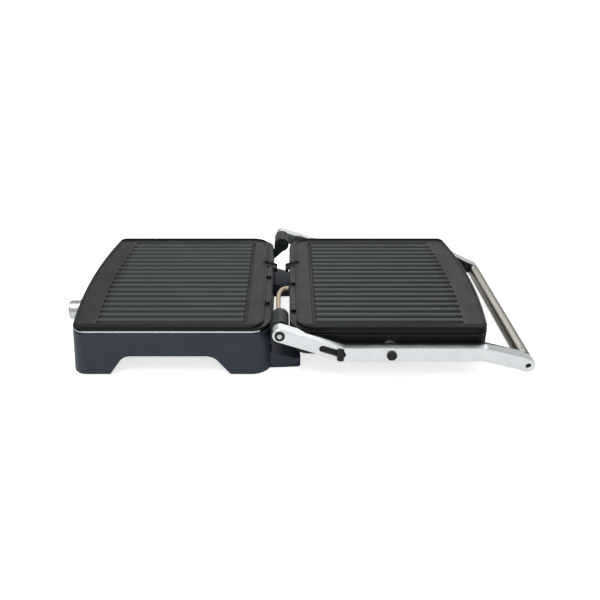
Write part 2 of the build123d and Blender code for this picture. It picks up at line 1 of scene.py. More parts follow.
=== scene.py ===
import json
import logging
import math
from dataclasses import dataclass
from enum import Enum
from typing import Callable, Iterable, Sequence

import bmesh
import bpy
from mathutils import Matrix, Vector


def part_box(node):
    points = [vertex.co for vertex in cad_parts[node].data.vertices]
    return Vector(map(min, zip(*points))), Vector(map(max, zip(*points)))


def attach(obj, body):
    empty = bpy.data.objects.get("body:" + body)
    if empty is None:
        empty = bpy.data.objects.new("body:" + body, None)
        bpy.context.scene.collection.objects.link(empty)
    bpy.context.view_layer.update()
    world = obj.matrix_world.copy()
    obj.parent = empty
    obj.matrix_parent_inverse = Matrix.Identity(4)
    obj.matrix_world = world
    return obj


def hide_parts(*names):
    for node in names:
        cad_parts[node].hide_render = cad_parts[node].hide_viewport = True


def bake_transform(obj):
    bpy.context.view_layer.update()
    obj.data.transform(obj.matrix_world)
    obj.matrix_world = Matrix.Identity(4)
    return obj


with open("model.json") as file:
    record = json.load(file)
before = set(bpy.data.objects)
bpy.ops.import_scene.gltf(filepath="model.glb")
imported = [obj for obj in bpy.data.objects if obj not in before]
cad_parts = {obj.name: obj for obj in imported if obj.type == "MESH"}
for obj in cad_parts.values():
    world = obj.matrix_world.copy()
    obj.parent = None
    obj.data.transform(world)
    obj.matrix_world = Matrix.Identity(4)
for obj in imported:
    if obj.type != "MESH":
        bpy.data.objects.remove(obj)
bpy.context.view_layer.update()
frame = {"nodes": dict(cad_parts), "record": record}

log = logging.getLogger("panini_press")
MM = 0.001
Colour = tuple[float, float, float]
Point = tuple[float, float, float]

# The levels of the plates' tops and of their grooves' floors.
PLATE_LEVEL = 67.8 * MM
GROOVE_FLOOR = 64.3 * MM

# Points that lie nearer than this are one point, in a turned shape and in a copied CAD mesh.
LATHE_MERGE = 0.001 * MM
CAD_MERGE = 0.002 * MM

# Faces of a copied CAD mesh that turn by less than this, in degrees, are one face.
FLAT_ANGLE = 0.6

# The press's two sides, with their signs along X.
SIDES = {"right": 1, "left": -1}

BUMP_STRENGTH = 0.6


def hinge_centre() -> Vector:
    """Gives the middle of the right hinge pin, which lies on the main hinge's axis."""
    return sum(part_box("hinge_pin_right"), Vector()) / 2


# ---- node graphs ----------------------------------------------------------------------------


class Graph:
    """The nodes and links of one node tree, with short calls to add them."""

    def __init__(self, tree: bpy.types.NodeTree) -> None:
        """Keeps the tree that the calls add to."""
        self.tree = tree

    def add(self, kind: str, **settings: object) -> bpy.types.Node:
        """Adds a node.

        Args:
            kind: The node's type name.
            settings: Attributes to set on it.

        Returns:
            The new node.
        """
        node = self.tree.nodes.new(kind)
        for name, value in settings.items():
            setattr(node, name, value)
        return node

    def link(self, source: bpy.types.NodeSocket, target: bpy.types.NodeSocket) -> None:
        """Links one socket to another."""
        self.tree.links.new(source, target)

    def math(self, operation: str, first: object, second: object = 0.0) -> bpy.types.NodeSocket:
        """Adds a Math node.

        Args:
            operation: The node's operation.
            first: A socket or a number.
            second: A socket or a number.

        Returns:
            The result's socket.
        """
        node = self.add("ShaderNodeMath", operation=operation)
        for socket, value in zip(node.inputs, (first, second)):
            self.feed(socket, value)
        return node.outputs[0]

    def feed(self, socket: bpy.types.NodeSocket, value: object) -> None:
        """Links a socket into another, or sets a plain value on it."""
        if isinstance(value, bpy.types.NodeSocket):
            self.link(value, socket)
        else:
            socket.default_value = value

    def noise(
        self, place: bpy.types.NodeSocket, scale: object, detail: float, rough: float = 0.5
    ) -> bpy.types.NodeSocket:
        """Adds a Noise Texture.

        Args:
            place: The coordinates that it reads.
            scale: Its scale, as a number or a socket.
            detail: Its octaves.
            rough: How strong the fine octaves are.

        Returns:
            The noise's value.
        """
        node = self.add("ShaderNodeTexNoise")
        self.link(place, node.inputs["Vector"])
        self.feed(node.inputs["Scale"], scale)
        node.inputs["Detail"].default_value = detail
        node.inputs["Roughness"].default_value = rough
        return node.outputs["Fac"]

    def remap(
        self, value: bpy.types.NodeSocket, span: Sequence[float], low: object, high: object
    ) -> bpy.types.NodeSocket:
        """Maps a value's span to low and high, clamped.

        Args:
            value: The value to map.
            span: The two values that become low and high.
            low: The result at the span's start.
            high: The result at the span's end.

        Returns:
            The mapped value.
        """
        node = self.add("ShaderNodeMapRange")
        self.link(value, node.inputs["Value"])
        node.inputs["From Min"].default_value = span[0]
        node.inputs["From Max"].default_value = span[1]
        self.feed(node.inputs["To Min"], low)
        self.feed(node.inputs["To Max"], high)
        return node.outputs["Result"]

    def mix(self, factor: object, first: object, second: object) -> bpy.types.NodeSocket:
        """Mixes two colours.

        Args:
            factor: The share of the second colour.
            first: A colour or a socket.
            second: A colour or a socket.

        Returns:
            The mixed colour.
        """
        # A Mix node's colour sockets share their names with its other types, so they go by place.
        node = self.add("ShaderNodeMix", data_type="RGBA")
        self.feed(node.inputs[0], factor)
        self.feed(node.inputs[6], first)
        self.feed(node.inputs[7], second)
        return node.outputs[2]


class Effect(Enum):
    """The surface effects that several finishes share."""

    GRAIN = "moulded_grain"
    BRUSHED = "brushed_lines"
    SMUDGE = "handling_smudge"
    SPECKLE = "coating_speckle"
    DUST = "settled_dust"
    RUB = "edge_rub"


class EffectLibrary:
    """Builds each shared effect once, as a shader node group that puts out masks and heights."""

    def __init__(self) -> None:
        """Starts with no group built."""
        self.groups: dict[Effect, bpy.types.NodeTree] = {}

    def group(self, effect: Effect) -> bpy.types.NodeTree:
        """Gives an effect's node group, built at the first call."""
        if effect not in self.groups:
            builders: dict[Effect, Callable[[], bpy.types.NodeTree]] = {
                Effect.GRAIN: self._grain,
                Effect.BRUSHED: self._brushed,
                Effect.SMUDGE: self._smudge,
                Effect.SPECKLE: self._speckle,
                Effect.DUST: self._dust,
                Effect.RUB: self._rub,
            }
            self.groups[effect] = builders[effect]()
        return self.groups[effect]

    def place(self, graph: Graph, effect: Effect, **values: object) -> bpy.types.Node:
        """Puts an effect's group into a material.

        Args:
            graph: The material's graph.
            effect: The effect to place.
            values: The group's inputs by name.

        Returns:
            The group node.
        """
        node = graph.add("ShaderNodeGroup", node_tree=self.group(effect))
        for name, value in values.items():
            graph.feed(node.inputs[name], value)
        return node

    @staticmethod
    def _start(
        effect: Effect, inputs: dict[str, float], outputs: Sequence[str]
    ) -> tuple[Graph, bpy.types.Node, bpy.types.Node]:
        """Makes an empty group with its sockets.

        Args:
            effect: The effect that the group is for.
            inputs: The input names and their defaults.
            outputs: The output names.

        Returns:
            The graph, its input node and its output node.
        """
        tree = bpy.data.node_groups.new(effect.value, "ShaderNodeTree")
        for name, value in inputs.items():
            socket = tree.interface.new_socket(name, in_out="INPUT", socket_type="NodeSocketFloat")
            socket.default_value = value
        for name in outputs:
            tree.interface.new_socket(name, in_out="OUTPUT", socket_type="NodeSocketFloat")
        graph = Graph(tree)
        return graph, graph.add("NodeGroupInput"), graph.add("NodeGroupOutput")

    @staticmethod
    def _object_place(graph: Graph) -> bpy.types.NodeSocket:
        """Gives object coordinates inside a group."""
        return graph.add("ShaderNodeTexCoord").outputs["Object"]

    def _grain(self) -> bpy.types.NodeTree:
        """Fine spark-eroded grain of a moulding: Height, and a slow Tone."""
        graph, given, made = self._start(Effect.GRAIN, {"Scale": 900.0}, ("Height", "Tone"))
        place = self._object_place(graph)
        fine = graph.noise(place, given.outputs["Scale"], 2.0, 0.6)
        slow = graph.noise(place, graph.math("MULTIPLY", given.outputs["Scale"], 0.02), 3.0)
        graph.link(graph.remap(fine, (0.35, 0.65), 0.0, 1.0), made.inputs["Height"])
        graph.link(graph.remap(slow, (0.3, 0.7), 0.0, 1.0), made.inputs["Tone"])
        return graph.tree

    def _brushed(self) -> bpy.types.NodeTree:
        """Brushed lines that are long along the axis with the small stretch: Height and Tone."""
        sizes = {"Scale": 600.0, "Along X": 1.0, "Along Y": 1.0, "Along Z": 1.0}
        graph, given, made = self._start(Effect.BRUSHED, sizes, ("Height", "Tone"))
        stretch = graph.add("ShaderNodeCombineXYZ")
        for axis in "XYZ":
            graph.link(given.outputs[f"Along {axis}"], stretch.inputs[axis])
        place = graph.add("ShaderNodeVectorMath", operation="MULTIPLY")
        graph.link(self._object_place(graph), place.inputs[0])
        graph.link(stretch.outputs[0], place.inputs[1])
        fine = graph.noise(place.outputs[0], given.outputs["Scale"], 4.0, 0.7)
        slow = graph.noise(
            place.outputs[0], graph.math("MULTIPLY", given.outputs["Scale"], 0.12), 3.0
        )
        graph.link(graph.remap(fine, (0.3, 0.7), 0.0, 1.0), made.inputs["Height"])
        graph.link(graph.remap(slow, (0.35, 0.65), 0.0, 1.0), made.inputs["Tone"])
        return graph.tree

    def _smudge(self) -> bpy.types.NodeTree:
        """Soft handling marks: a Mask between Low and High, for roughness."""
        sizes = {"Scale": 24.0, "Low": 0.3, "High": 0.4}
        graph, given, made = self._start(Effect.SMUDGE, sizes, ("Mask",))
        place = self._object_place(graph)
        broad = graph.noise(place, given.outputs["Scale"], 4.0, 0.6)
        low, high = given.outputs["Low"], given.outputs["High"]
        graph.link(graph.remap(broad, (0.35, 0.65), low, high), made.inputs["Mask"])
        return graph.tree

    def _speckle(self) -> bpy.types.NodeTree:
        """Tiny light flecks and a sprayed orange-peel surface: Flecks and Height."""
        sizes = {"Scale": 1400.0, "Limit": 0.66}
        graph, given, made = self._start(Effect.SPECKLE, sizes, ("Flecks", "Height"))
        place = self._object_place(graph)
        fleck = graph.noise(place, given.outputs["Scale"], 1.0)
        over = graph.math("SUBTRACT", fleck, given.outputs["Limit"])
        peel = graph.noise(place, graph.math("MULTIPLY", given.outputs["Scale"], 0.35), 2.0)
        graph.link(graph.remap(over, (0.0, 0.08), 0.0, 1.0), made.inputs["Flecks"])
        graph.link(peel, made.inputs["Height"])
        return graph.tree

    def _dust(self) -> bpy.types.NodeTree:
        """A thin film on what faces up in the object: a Mask."""
        sizes = {"Amount": 0.1, "Scale": 60.0}
        graph, given, made = self._start(Effect.DUST, sizes, ("Mask",))
        coordinates = graph.add("ShaderNodeTexCoord")
        parts = graph.add("ShaderNodeSeparateXYZ")
        graph.link(coordinates.outputs["Normal"], parts.inputs[0])
        upward = graph.remap(parts.outputs["Z"], (0.5, 1.0), 0.0, 1.0)
        patches = graph.noise(coordinates.outputs["Object"], given.outputs["Scale"], 5.0, 0.65)
        lying = graph.math("MULTIPLY", upward, graph.remap(patches, (0.4, 0.75), 0.0, 1.0))
        graph.link(graph.math("MULTIPLY", lying, given.outputs["Amount"]), made.inputs["Mask"])
        return graph.tree

    def _rub(self) -> bpy.types.NodeTree:
        """Where edges are rubbed by handling: a Mask, broken up by noise."""
        sizes = {"Radius": 0.0015, "Strength": 0.5}
        graph, given, made = self._start(Effect.RUB, sizes, ("Mask",))
        rounded = graph.add("ShaderNodeBevel", samples=4)
        graph.link(given.outputs["Radius"], rounded.inputs["Radius"])
        plain = graph.add("ShaderNodeNewGeometry")
        agree = graph.add("ShaderNodeVectorMath", operation="DOT_PRODUCT")
        graph.link(rounded.outputs[0], agree.inputs[0])
        graph.link(plain.outputs["Normal"], agree.inputs[1])
        edge = graph.remap(agree.outputs["Value"], (0.995, 0.9), 0.0, 1.0)
        broken = graph.noise(self._object_place(graph), 90.0, 4.0, 0.7)
        worn = graph.math("MULTIPLY", edge, graph.remap(broken, (0.4, 0.65), 0.2, 1.0))
        graph.link(graph.math("MULTIPLY", worn, given.outputs["Strength"]), made.inputs["Mask"])
        return graph.tree


# ---- finishes -------------------------------------------------------------------------------


@dataclass(frozen=True)
class Finish:
    """What every finish has.

    Attributes:
        colour: Its colour, without alpha.
        roughness: The range of roughness that handling gives it.
    """

    colour: Colour
    roughness: tuple[float, float]

    def shade(self, graph: Graph, effects: EffectLibrary, surface: bpy.types.Node) -> None:
        """Sets the finish up round a Principled shader."""
        raise NotImplementedError

    def material(self, name: str, effects: EffectLibrary) -> bpy.types.Material:
        """Makes the finish's material.

        Args:
            name: The material's name.
            effects: The shared effects.

        Returns:
            The material.
        """
        made = bpy.data.materials.new(name)
        made.use_nodes = True
        made.node_tree.nodes.clear()
        graph = Graph(made.node_tree)
        surface = graph.add("ShaderNodeBsdfPrincipled")
        graph.link(surface.outputs[0], graph.add("ShaderNodeOutputMaterial").inputs[0])
        self.shade(graph, effects, surface)
        return made

    def tint(self, share: float, lift: float = 0.0) -> tuple[float, float, float, float]:
        """Gives the colour scaled by share and lifted, with full alpha."""
        return (*(min(1.0, channel * share + lift) for channel in self.colour), 1.0)

    def smudged(self, graph: Graph, effects: EffectLibrary, surface: bpy.types.Node) -> None:
        """Gives the shader its uneven roughness."""
        low, high = self.roughness
        marks = effects.place(graph, Effect.SMUDGE, Low=low, High=high)
        graph.link(marks.outputs["Mask"], surface.inputs["Roughness"])

    @staticmethod
    def bumped(
        graph: Graph, surface: bpy.types.Node, height: bpy.types.NodeSocket, depth: float
    ) -> None:
        """Gives the shader a bump of that depth in metres."""
        bump = graph.add("ShaderNodeBump")
        bump.inputs["Distance"].default_value = depth
        bump.inputs["Strength"].default_value = BUMP_STRENGTH
        graph.link(height, bump.inputs["Height"])
        graph.link(bump.outputs[0], surface.inputs["Normal"])


@dataclass(frozen=True)
class Moulded(Finish):
    """A satin plastic or rubber moulding with fine grain, rubbed edges and a little dust.

    Attributes:
        grain: The scale of the grain.
        depth: The depth of the grain.
        specular: The specular level.
        rub: How far the edges are rubbed light.
        rub_radius: How far a rub reaches from its edge.
        dust: How much dust lies on what faces up.
        dust_colour: The dust's colour.
        tones: The colour's shares between which the grain drifts.
        worn: The colour's share at a rubbed edge, and the lift added to it.
    """

    grain: float = 900.0
    depth: float = 0.04 * MM
    specular: float = 0.5
    rub: float = 0.25
    rub_radius: float = 1.2 * MM
    dust: float = 0.04
    dust_colour: Colour = (0.45, 0.44, 0.42)
    tones: tuple[float, float] = (0.88, 1.1)
    worn: tuple[float, float] = (1.5, 0.03)

    def shade(self, graph: Graph, effects: EffectLibrary, surface: bpy.types.Node) -> None:
        """Sets the moulding up round the shader."""
        skin = effects.place(graph, Effect.GRAIN, Scale=self.grain)
        edges = effects.place(graph, Effect.RUB, Radius=self.rub_radius, Strength=self.rub)
        film = effects.place(graph, Effect.DUST, Amount=self.dust)
        darker, lighter = (self.tint(share) for share in self.tones)
        tone = graph.mix(skin.outputs["Tone"], darker, lighter)
        rubbed = graph.mix(edges.outputs["Mask"], tone, self.tint(*self.worn))
        dusted = graph.mix(film.outputs["Mask"], rubbed, (*self.dust_colour, 1.0))
        graph.link(dusted, surface.inputs["Base Color"])
        surface.inputs["Specular IOR Level"].default_value = self.specular
        self.smudged(graph, effects, surface)
        self.bumped(graph, surface, skin.outputs["Height"], self.depth)


@dataclass(frozen=True)
class Metal(Finish):
    """A brushed, blasted or bright metal.

    Attributes:
        stretch: How fast its lines change along each axis; they run along the smallest.
        scale: The scale of the lines.
        depth: The depth of the lines.
        contrast: How far the lines drift from the colour.
        rub: How far the edges are rubbed bright.
        rub_radius: How far a rub reaches from its edge.
        worn: The colour's share at a rubbed edge, and the lift added to it.
    """

    stretch: Point = (1.0, 1.0, 1.0)
    scale: float = 700.0
    depth: float = 0.02 * MM
    contrast: float = 0.06
    rub: float = 0.2
    rub_radius: float = 1.0 * MM
    worn: tuple[float, float] = (1.0, 0.12)

    def shade(self, graph: Graph, effects: EffectLibrary, surface: bpy.types.Node) -> None:
        """Sets the metal up round the shader."""
        along = {f"Along {axis}": value for axis, value in zip("XYZ", self.stretch)}
        lines = effects.place(graph, Effect.BRUSHED, Scale=self.scale, **along)
        edges = effects.place(graph, Effect.RUB, Radius=self.rub_radius, Strength=self.rub)
        darker, lighter = self.tint(1.0 - self.contrast), self.tint(1.0 + self.contrast)
        tone = graph.mix(lines.outputs["Tone"], darker, lighter)
        rubbed = graph.mix(edges.outputs["Mask"], tone, self.tint(*self.worn))
        graph.link(rubbed, surface.inputs["Base Color"])
        surface.inputs["Metallic"].default_value = 1.0
        self.smudged(graph, effects, surface)
        self.bumped(graph, surface, lines.outputs["Height"], self.depth)


@dataclass(frozen=True)
class NonStick(Finish):
    """A sprayed coating with a painted highlight on the ridges and painted shade in grooves and
    sides.

    Attributes:
        ridge_highlight_share: The colour's share on top of the ridges, a painted highlight.
        groove_shade_share: The colour's share on the grooves' floor, a painted shade.
        side_shade_share: The colour's share along the plate's two sides, a painted shade.
        highlight_outs: The distances from the hinge's axis at which the ridges' painted highlight
        starts, is full, starts to fade and is gone.
        side_shade_edge: The distances from the middle at which the painted side shade starts and
            is full.
        specular: The specular levels along the sides, lowered with their painted shade, and
            between them.
        spray: The scale of the flecks and of the sprayed surface.
        fleck_limit: The noise level above which a fleck shows.
        flecks: How strongly the flecks show.
        fleck_tint: The colour's share in a fleck, and the lift added to it.
        dust: How much dust lies on what faces up.
        dust_colour: The dust's colour.
        peel: The depth of the sprayed surface.
    """

    ridge_highlight_share: float = 3.0
    groove_shade_share: float = 0.3
    side_shade_share: float = 0.4
    highlight_outs: tuple[float, float, float, float] = (38.5 * MM, 42.5 * MM, 222 * MM, 236 * MM)
    side_shade_edge: tuple[float, float] = (128.5 * MM, 132.5 * MM)
    specular: tuple[float, float] = (0.1, 0.26)
    spray: float = 1500.0
    fleck_limit: float = 0.6
    flecks: float = 0.35
    fleck_tint: tuple[float, float] = (2.0, 0.02)
    dust: float = 0.03
    dust_colour: Colour = (0.3, 0.3, 0.29)
    peel: float = 0.12 * MM

    def shade(self, graph: Graph, effects: EffectLibrary, surface: bpy.types.Node) -> None:
        """Sets the coating up round the shader."""
        sprayed = effects.place(graph, Effect.SPECKLE, Scale=self.spray, Limit=self.fleck_limit)
        film = effects.place(graph, Effect.DUST, Amount=self.dust)
        parts = graph.add("ShaderNodeSeparateXYZ")
        graph.link(graph.add("ShaderNodeTexCoord").outputs["Object"], parts.inputs[0])
        # raised is 1 on the plate's top and 0 on the grooves' floors; it sets the painted groove
        # shade and the painted ridge highlight.
        raised = graph.remap(parts.outputs["Z"], (GROOVE_FLOOR, PLATE_LEVEL), 0.0, 1.0)
        across = graph.math("ABSOLUTE", parts.outputs["X"])
        # inside falls to 0 along the plate's two sides, where the painted side shade lies.
        inside = graph.remap(across, self.side_shade_edge, 1.0, 0.0)
        from_hinge = graph.math("SUBTRACT", parts.outputs["Y"], hinge_centre().y)
        out = graph.math("ABSOLUTE", from_hinge)
        reach = graph.math(
            "MULTIPLY",
            graph.remap(out, self.highlight_outs[:2], 0.0, 1.0),
            graph.remap(out, self.highlight_outs[2:], 1.0, 0.0),
        )
        ridge_highlight_mask = graph.math("MULTIPLY", graph.math("MULTIPLY", inside, reach), raised)
        # Painted shade in the grooves and along the sides, then a painted highlight on the ridges'
        # tops.
        plain = graph.mix(raised, self.tint(self.groove_shade_share), self.tint(1.0))
        side_shaded = graph.mix(inside, self.tint(self.side_shade_share), plain)
        tone = graph.mix(ridge_highlight_mask, side_shaded, self.tint(self.ridge_highlight_share))
        fleck = graph.math("MULTIPLY", sprayed.outputs["Flecks"], self.flecks)
        flecked = graph.mix(fleck, tone, self.tint(*self.fleck_tint))
        dusted = graph.mix(film.outputs["Mask"], flecked, (*self.dust_colour, 1.0))
        graph.link(dusted, surface.inputs["Base Color"])
        # The specular level is lowered along the sides, with their painted shade.
        shine = graph.remap(inside, (0.0, 1.0), *self.specular)
        graph.link(shine, surface.inputs["Specular IOR Level"])
        self.smudged(graph, effects, surface)
        self.bumped(graph, surface, sprayed.outputs["Height"], self.peel)


@dataclass(frozen=True)
class Lens(Finish):
    """A glossy coloured lamp lens with a faint moulding pattern.

    Attributes:
        grain: The scale of the pattern.
        depth: The depth of the pattern.
        tones: The colour's shares between which the pattern drifts.
        coat: How glossy the lens is.
    """

    grain: float = 1200.0
    depth: float = 0.01 * MM
    tones: tuple[float, float] = (0.8, 1.15)
    coat: float = 0.6

    def shade(self, graph: Graph, effects: EffectLibrary, surface: bpy.types.Node) -> None:
        """Sets the lens up round the shader."""
        skin = effects.place(graph, Effect.GRAIN, Scale=self.grain)
        darker, lighter = (self.tint(share) for share in self.tones)
        tone = graph.mix(skin.outputs["Tone"], darker, lighter)
        graph.link(tone, surface.inputs["Base Color"])
        surface.inputs["Coat Weight"].default_value = self.coat
        self.smudged(graph, effects, surface)
        self.bumped(graph, surface, skin.outputs["Height"], self.depth)


@dataclass(frozen=True)
class Sleeve(Finish):
    """A braided heat-proof sleeve: two crossing sets of strands.

    Attributes:
        strands: The scale of the strands.
        lean: How far each set is turned about X, Y and Z, one way or the other, in radians.
        weave: The depth of the braid.
        tones: The colour's shares between the strands and on them.
        fray: The scale of the frayed patches.
        fray_strength: How strongly they show.
        fray_tone: The colour's share in them.
    """

    strands: float = 315.0
    lean: Point = (0.8, 0.7, 0.75)
    weave: float = 0.2 * MM
    tones: tuple[float, float] = (0.6, 1.05)
    fray: float = 300.0
    fray_strength: float = 0.4
    fray_tone: float = 0.8

    def shade(self, graph: Graph, effects: EffectLibrary, surface: bpy.types.Node) -> None:
        """Sets the braid up round the shader."""
        place = graph.add("ShaderNodeTexCoord").outputs["Object"]
        bands = []
        for turn in (-1.0, 1.0):
            turned = graph.add("ShaderNodeMapping")
            graph.link(place, turned.inputs["Vector"])
            turned.inputs["Rotation"].default_value = Vector(self.lean) * turn
            wave = graph.add("ShaderNodeTexWave", wave_type="BANDS", bands_direction="X")
            graph.link(turned.outputs[0], wave.inputs["Vector"])
            wave.inputs["Scale"].default_value = self.strands
            wave.inputs["Distortion"].default_value = 1.0
            bands.append(wave.outputs["Fac"])
        woven = graph.math("MAXIMUM", bands[0], bands[1])
        between, on_top = (self.tint(share) for share in self.tones)
        tone = graph.mix(woven, between, on_top)
        patches = graph.noise(place, self.fray, 4.0, 0.6)
        frayed = graph.remap(patches, (0.45, 0.7), 0.0, self.fray_strength)
        worn = graph.mix(frayed, tone, self.tint(self.fray_tone))
        graph.link(worn, surface.inputs["Base Color"])
        self.smudged(graph, effects, surface)
        self.bumped(graph, surface, woven, self.weave)


class Surface(Enum):
    """The record's material slots."""

    SLATE = "slate_shell"
    BLACK = "black_moulding"
    HINGE = "hinge_moulding"
    COVER = "cover_steel"
    FASTENER = "fastener_steel"
    RUBBER = "rubber"
    TRIM = "trim_silver"
    PLATE = "nonstick_plate"
    ELEMENT = "element_steel"
    SHIELD = "shield_aluminium"
    RED = "red_lamp"
    GREEN = "green_lamp"
    LEAD = "lead_sleeve"
    CHROME = "knob_chrome"
    ARM = "arm_aluminium"
    BAR = "bar_stainless"
    PANEL = "panel_stainless"


FINISHES: dict[Surface, Finish] = {
    Surface.SLATE: Moulded(
        (0.02, 0.028, 0.044), (0.36, 0.46), grain=1100.0, rub=0.1, specular=0.34
    ),
    Surface.BLACK: Moulded((0.006, 0.0065, 0.0065), (0.36, 0.48), rub=0.1, specular=0.3),
    Surface.HINGE: Moulded((0.009, 0.014, 0.013), (0.36, 0.48), rub=0.12, specular=0.35),
    Surface.COVER: Moulded((0.012, 0.013, 0.014), (0.45, 0.55), grain=500.0, depth=0.1 * MM),
    Surface.FASTENER: Metal((0.56, 0.57, 0.58), (0.22, 0.34), scale=1500.0),
    Surface.RUBBER: Moulded((0.014, 0.014, 0.014), (0.7, 0.85), specular=0.3, dust=0.12),
    Surface.TRIM: Metal((0.52, 0.54, 0.54), (0.26, 0.36), (1.0, 0.05, 1.0), contrast=0.03),
    Surface.PLATE: NonStick((0.016, 0.0185, 0.018), (0.42, 0.52)),
    Surface.ELEMENT: Metal((0.16, 0.15, 0.15), (0.4, 0.6), scale=300.0, contrast=0.3),
    Surface.SHIELD: Metal((0.62, 0.63, 0.64), (0.25, 0.4), (1.0, 0.04, 1.0)),
    Surface.RED: Lens((0.45, 0.02, 0.015), (0.08, 0.16)),
    Surface.GREEN: Lens((0.02, 0.3, 0.06), (0.08, 0.16)),
    Surface.LEAD: Sleeve((0.82, 0.64, 0.46), (0.45, 0.6)),
    Surface.CHROME: Metal((0.6, 0.62, 0.62), (0.26, 0.36), contrast=0.03),
    Surface.ARM: Metal((0.8, 0.83, 0.84), (0.34, 0.44), depth=0.03 * MM, contrast=0.025),
    Surface.BAR: Metal(
        (0.35, 0.335, 0.295), (0.26, 0.32), (0.03, 1.0, 1.0), scale=900.0, depth=0.005 * MM
    ),
    Surface.PANEL: Metal(
        (0.5, 0.51, 0.51), (0.3, 0.35), (0.02, 1.0, 1.0), scale=1100.0, depth=0.004 * MM
    ),
}


class Palette:
    """Builds each finish's material once."""

    def __init__(self) -> None:
        """Starts with the shared effects and no material."""
        self.effects = EffectLibrary()
        self.made: dict[Surface, bpy.types.Material] = {}

    def get(self, surface: Surface) -> bpy.types.Material:
        """Gives a surface's material."""
        if surface not in self.made:
            self.made[surface] = FINISHES[surface].material(surface.value, self.effects)
        return self.made[surface]

    def dress_frame(self) -> None:
        """Gives every CAD node the material of its slot in the record."""
        for part in frame["record"]["subparts"]:
            target = frame["nodes"][part["node"]].data
            target.materials.clear()
            target.materials.append(self.get(Surface(part["material_slot"])))


# ---- mesh work ------------------------------------------------------------------------------


def body_of_node(node: str) -> str:
    """Gives the CAD body that a node belongs to."""
    bodies = frame["record"]["behaviour"]["bodies"]
    return next(body for body, nodes in bodies.items() if node in nodes)


def surface_of_node(node: str) -> Surface:
    """Gives a node's surface from the record."""
    parts = frame["record"]["subparts"]
    return Surface(next(part["material_slot"] for part in parts if part["node"] == node))


def add_object(name: str, data: bpy.types.ID) -> bpy.types.Object:
    """Makes an object of some data and links it into the scene."""
    made = bpy.data.objects.new(name, data)
    bpy.context.scene.collection.objects.link(made)
    return made


def edge_turn(edge: bmesh.types.BMEdge) -> float:
    """Gives the angle between an edge's two faces, or 0 where it has not got two."""
    return edge.calc_face_angle(0.0) if len(edge.link_faces) == 2 else 0.0


def bevel(
    mesh: bmesh.types.BMesh, edges: list[bmesh.types.BMEdge], width: float, segments: int
) -> None:
    """Rounds the given edges of a mesh.

    Args:
        mesh: The mesh to change.
        edges: The edges to round.
        width: The width of the rounding.
        segments: The number of faces across it.
    """
    bmesh.ops.bevel(
        mesh,
        geom=edges,
        offset=width,
        offset_type="OFFSET",
        segments=segments,
        affect="EDGES",
        profile=0.5,
        material=-1,
        clamp_overlap=False,
    )


def round_edges(
    mesh: bmesh.types.BMesh, width: float, segments: int = 2, limit: float = 30.0
) -> None:
    """Rounds a mesh's sharp edges.

    Args:
        mesh: The mesh to change.
        width: The width of the rounding.
        segments: The number of faces across it.
        limit: The least angle in degrees of an edge that is rounded.
    """
    sharp = [edge for edge in mesh.edges if edge_turn(edge) > math.radians(limit)]
    if sharp:
        bevel(mesh, sharp, width, segments)


def lathe(
    outline: Sequence[tuple[float, float]], centre: Point, axis: Point, steps: int
) -> bmesh.types.BMesh:
    """Turns an outline round an axis.

    Args:
        outline: Points as distance along the axis from centre, and radius; 0 closes the shape.
        centre: A point on the axis.
        axis: The axis's direction.
        steps: The number of faces round it.

    Returns:
        The turned shape as a closed mesh.
    """
    mesh = bmesh.new()
    along = Vector(axis).normalized()
    across = along.orthogonal().normalized()
    places = [Vector(centre) + along * out + across * radius for out, radius in outline]
    verts = [mesh.verts.new(place) for place in places]
    edges = [mesh.edges.new(pair) for pair in zip(verts, verts[1:])]
    bmesh.ops.spin(
        mesh,
        geom=verts + edges,
        cent=centre,
        axis=along,
        dvec=(0, 0, 0),
        angle=math.tau,
        steps=steps,
        use_merge=True,
        use_duplicate=False,
    )
    bmesh.ops.remove_doubles(mesh, verts=mesh.verts[:], dist=LATHE_MERGE)
    bmesh.ops.recalc_face_normals(mesh, faces=mesh.faces[:])
    return mesh


def cad_copy(node: str) -> bmesh.types.BMesh:
    """Gives a merged copy of a CAD node's mesh, with flat regions as single faces."""
    mesh = bmesh.new()
    mesh.from_mesh(frame["nodes"][node].data)
    bmesh.ops.remove_doubles(mesh, verts=mesh.verts[:], dist=CAD_MERGE)
    bmesh.ops.dissolve_limit(
        mesh,
        angle_limit=math.radians(FLAT_ANGLE),
        use_dissolve_boundaries=False,
        verts=mesh.verts[:],
        edges=mesh.edges[:],
        delimit={"NORMAL"},
    )
    return mesh


